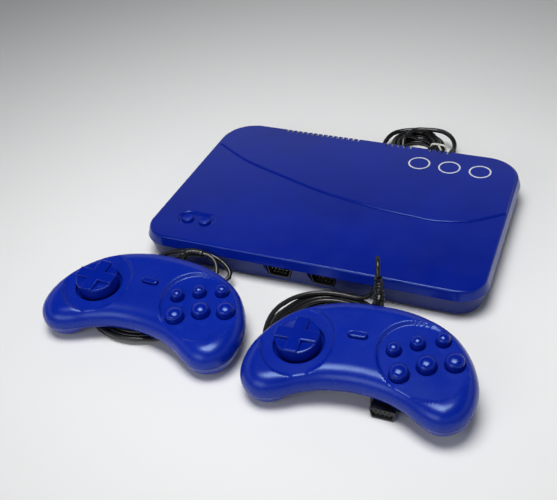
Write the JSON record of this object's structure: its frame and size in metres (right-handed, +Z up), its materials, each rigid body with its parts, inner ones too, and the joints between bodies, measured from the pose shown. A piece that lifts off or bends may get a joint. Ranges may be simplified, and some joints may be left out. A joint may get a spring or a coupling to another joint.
{
  "type": "game console with control pads",
  "caption": "Flat rounded console with controller sockets, press buttons and vents, with corded control pads that have a direction pad, face buttons and a start button.",
  "frame": {"origin": "centre of the set's footprint on the surface it stands on, measured without the free cords", "axes": "+X to the right along the set's width as seen from the front, +Y from the control pads towards the console's back, +Z up"},
  "size_m": [0.3022, 0.3388, 0.0499],
  "materials": {
    "black_abs": "satin moulded ABS, black",
    "black_epoxy": "matte moulded chip package",
    "black_pvc": "glossy flexible PVC jacket, black",
    "black_rubber": "matte moulded rubber",
    "blue_abs": "glossy injection-moulded ABS, deep royal blue",
    "button_blue_abs": "glossy moulded ABS, royal blue",
    "green_board": "glass-fibre circuit board under green lacquer",
    "grey_silicone": "matte silicone rubber mat",
    "white_tie": "paper-covered wire tie",
    "zinc_steel": "zinc-plated steel"
  },
  "bodies": {
    "console": {"console_lower_shell": "blue_abs", "console_main_board": "green_board", "console_processor_chip": "black_epoxy", "console_screw_1": "zinc_steel", "console_screw_2": "zinc_steel", "console_screw_3": "zinc_steel", "console_screw_4": "zinc_steel", "console_upper_shell": "blue_abs", "controller_socket_left": "black_abs", "controller_socket_right": "black_abs", "foot_1": "black_rubber", "foot_2": "black_rubber", "foot_3": "black_rubber", "foot_4": "black_rubber", "power_socket": "black_abs", "video_cord": "black_pvc", "video_cord_coil": "black_pvc", "video_cord_gland": "black_pvc", "video_cord_tail": "black_pvc", "video_cord_tie": "white_tie", "video_plug": "black_abs"},
    "power_button": {"power_button": "button_blue_abs"},
    "reset_button": {"reset_button": "button_blue_abs"},
    "left_pad": {"left_pad_circuit_board": "green_board", "left_pad_cord": "black_pvc", "left_pad_cord_coil": "black_pvc", "left_pad_cord_tail": "black_pvc", "left_pad_lower_shell": "blue_abs", "left_pad_plug": "black_abs", "left_pad_rubber_mat": "grey_silicone", "left_pad_strain_relief": "black_pvc", "left_pad_upper_shell": "blue_abs"},
    "left_pad_dpad_pivot": {"left_pad_dpad_pivot": "black_abs"},
    "left_pad_dpad": {"left_pad_dpad": "button_blue_abs"},
    "left_pad_start_button": {"left_pad_start_button": "button_blue_abs"},
    "left_pad_button_x": {"left_pad_button_x": "button_blue_abs"},
    "left_pad_button_y": {"left_pad_button_y": "button_blue_abs"},
    "left_pad_button_z": {"left_pad_button_z": "button_blue_abs"},
    "left_pad_button_a": {"left_pad_button_a": "button_blue_abs"},
    "left_pad_button_b": {"left_pad_button_b": "button_blue_abs"},
    "left_pad_button_c": {"left_pad_button_c": "button_blue_abs"},
    "right_pad": {"right_pad_circuit_board": "green_board", "right_pad_cord": "black_pvc", "right_pad_cord_coil": "black_pvc", "right_pad_cord_tail": "black_pvc", "right_pad_lower_shell": "blue_abs", "right_pad_plug": "black_abs", "right_pad_rubber_mat": "grey_silicone", "right_pad_strain_relief": "black_pvc", "right_pad_upper_shell": "blue_abs"},
    "right_pad_dpad_pivot": {"right_pad_dpad_pivot": "black_abs"},
    "right_pad_dpad": {"right_pad_dpad": "button_blue_abs"},
    "right_pad_start_button": {"right_pad_start_button": "button_blue_abs"},
    "right_pad_button_x": {"right_pad_button_x": "button_blue_abs"},
    "right_pad_button_y": {"right_pad_button_y": "button_blue_abs"},
    "right_pad_button_z": {"right_pad_button_z": "button_blue_abs"},
    "right_pad_button_a": {"right_pad_button_a": "button_blue_abs"},
    "right_pad_button_b": {"right_pad_button_b": "button_blue_abs"},
    "right_pad_button_c": {"right_pad_button_c": "button_blue_abs"}
  },
  "joints": [
    {"name": "power_button_press", "type": "slide", "parent": "console", "child": "power_button", "axis": [0, 0, -1], "range_m": [0, 0.0015], "stiffness_N_per_m": 300, "springref_m": -0.0003},
    {"name": "reset_button_press", "type": "slide", "parent": "console", "child": "reset_button", "axis": [0, 0, -1], "range_m": [0, 0.0015], "stiffness_N_per_m": 300, "springref_m": -0.0003},
    {"name": "left_pad_lift", "type": "slide", "parent": "console", "child": "left_pad", "axis": [0, 0, 1], "range_m": [0, 0.12]},
    {"name": "left_pad_dpad_up_down", "type": "hinge", "parent": "left_pad", "child": "left_pad_dpad_pivot", "pos_m": [-0.11709, -0.08976, 0.02084], "axis": [0.9983, -0.0576, 0], "range_deg": [-4.5, 4.5], "stiffness_Nm_per_rad": 0.08},
    {"name": "left_pad_dpad_left_right", "type": "hinge", "parent": "left_pad_dpad_pivot", "child": "left_pad_dpad", "pos_m": [-0.11709, -0.08976, 0.02084], "axis": [0.0572, 0.9923, 0.1097], "range_deg": [-4.5, 4.5], "stiffness_Nm_per_rad": 0.08},
    {"name": "left_pad_start_button_press", "type": "slide", "parent": "left_pad", "child": "left_pad_start_button", "axis": [0.0063, 0.1096, -0.994], "range_m": [0, 0.0015], "stiffness_N_per_m": 300, "springref_m": -0.0003},
    {"name": "left_pad_button_x_press", "type": "slide", "parent": "left_pad", "child": "left_pad_button_x", "axis": [0.0063, 0.1096, -0.994], "range_m": [0, 0.0015], "stiffness_N_per_m": 300, "springref_m": -0.0003},
    {"name": "left_pad_button_y_press", "type": "slide", "parent": "left_pad", "child": "left_pad_button_y", "axis": [0.0063, 0.1096, -0.994], "range_m": [0, 0.0015], "stiffness_N_per_m": 300, "springref_m": -0.0003},
    {"name": "left_pad_button_z_press", "type": "slide", "parent": "left_pad", "child": "left_pad_button_z", "axis": [0.0063, 0.1096, -0.994], "range_m": [0, 0.0015], "stiffness_N_per_m": 300, "springref_m": -0.0003},
    {"name": "left_pad_button_a_press", "type": "slide", "parent": "left_pad", "child": "left_pad_button_a", "axis": [0.0063, 0.1096, -0.994], "range_m": [0, 0.0015], "stiffness_N_per_m": 300, "springref_m": -0.0003},
    {"name": "left_pad_button_b_press", "type": "slide", "parent": "left_pad", "child": "left_pad_button_b", "axis": [0.0063, 0.1096, -0.994], "range_m": [0, 0.0015], "stiffness_N_per_m": 300, "springref_m": -0.0003},
    {"name": "left_pad_button_c_press", "type": "slide", "parent": "left_pad", "child": "left_pad_button_c", "axis": [0.0063, 0.1096, -0.994], "range_m": [0, 0.0015], "stiffness_N_per_m": 300, "springref_m": -0.0003},
    {"name": "right_pad_lift", "type": "slide", "parent": "console", "child": "right_pad", "axis": [0, 0, 1], "range_m": [0, 0.12]},
    {"name": "right_pad_dpad_up_down", "type": "hinge", "parent": "right_pad", "child": "right_pad_dpad_pivot", "pos_m": [0.03663, -0.1057, 0.02257], "axis": [0.9989, 0.0199, 0.0414], "range_deg": [-4.5, 4.5], "stiffness_Nm_per_rad": 0.08},
    {"name": "right_pad_dpad_left_right", "type": "hinge", "parent": "right_pad_dpad_pivot", "child": "right_pad_dpad", "pos_m": [0.03663, -0.1057, 0.02257], "axis": [-0.0259, 0.9884, 0.1495], "range_deg": [-4.5, 4.5], "stiffness_Nm_per_rad": 0.08},
    {"name": "right_pad_start_button_press", "type": "slide", "parent": "right_pad", "child": "right_pad_start_button", "axis": [0.038, 0.1504, -0.9879], "range_m": [0, 0.0015], "stiffness_N_per_m": 300, "springref_m": -0.0003},
    {"name": "right_pad_button_x_press", "type": "slide", "parent": "right_pad", "child": "right_pad_button_x", "axis": [0.038, 0.1504, -0.9879], "range_m": [0, 0.0015], "stiffness_N_per_m": 300, "springref_m": -0.0003},
    {"name": "right_pad_button_y_press", "type": "slide", "parent": "right_pad", "child": "right_pad_button_y", "axis": [0.038, 0.1504, -0.9879], "range_m": [0, 0.0015], "stiffness_N_per_m": 300, "springref_m": -0.0003},
    {"name": "right_pad_button_z_press", "type": "slide", "parent": "right_pad", "child": "right_pad_button_z", "axis": [0.038, 0.1504, -0.9879], "range_m": [0, 0.0015], "stiffness_N_per_m": 300, "springref_m": -0.0003},
    {"name": "right_pad_button_a_press", "type": "slide", "parent": "right_pad", "child": "right_pad_button_a", "axis": [0.038, 0.1504, -0.9879], "range_m": [0, 0.0015], "stiffness_N_per_m": 300, "springref_m": -0.0003},
    {"name": "right_pad_button_b_press", "type": "slide", "parent": "right_pad", "child": "right_pad_button_b", "axis": [0.038, 0.1504, -0.9879], "range_m": [0, 0.0015], "stiffness_N_per_m": 300, "springref_m": -0.0003},
    {"name": "right_pad_button_c_press", "type": "slide", "parent": "right_pad", "child": "right_pad_button_c", "axis": [0.038, 0.1504, -0.9879], "range_m": [0, 0.0015], "stiffness_N_per_m": 300, "springref_m": -0.0003}
  ]
}
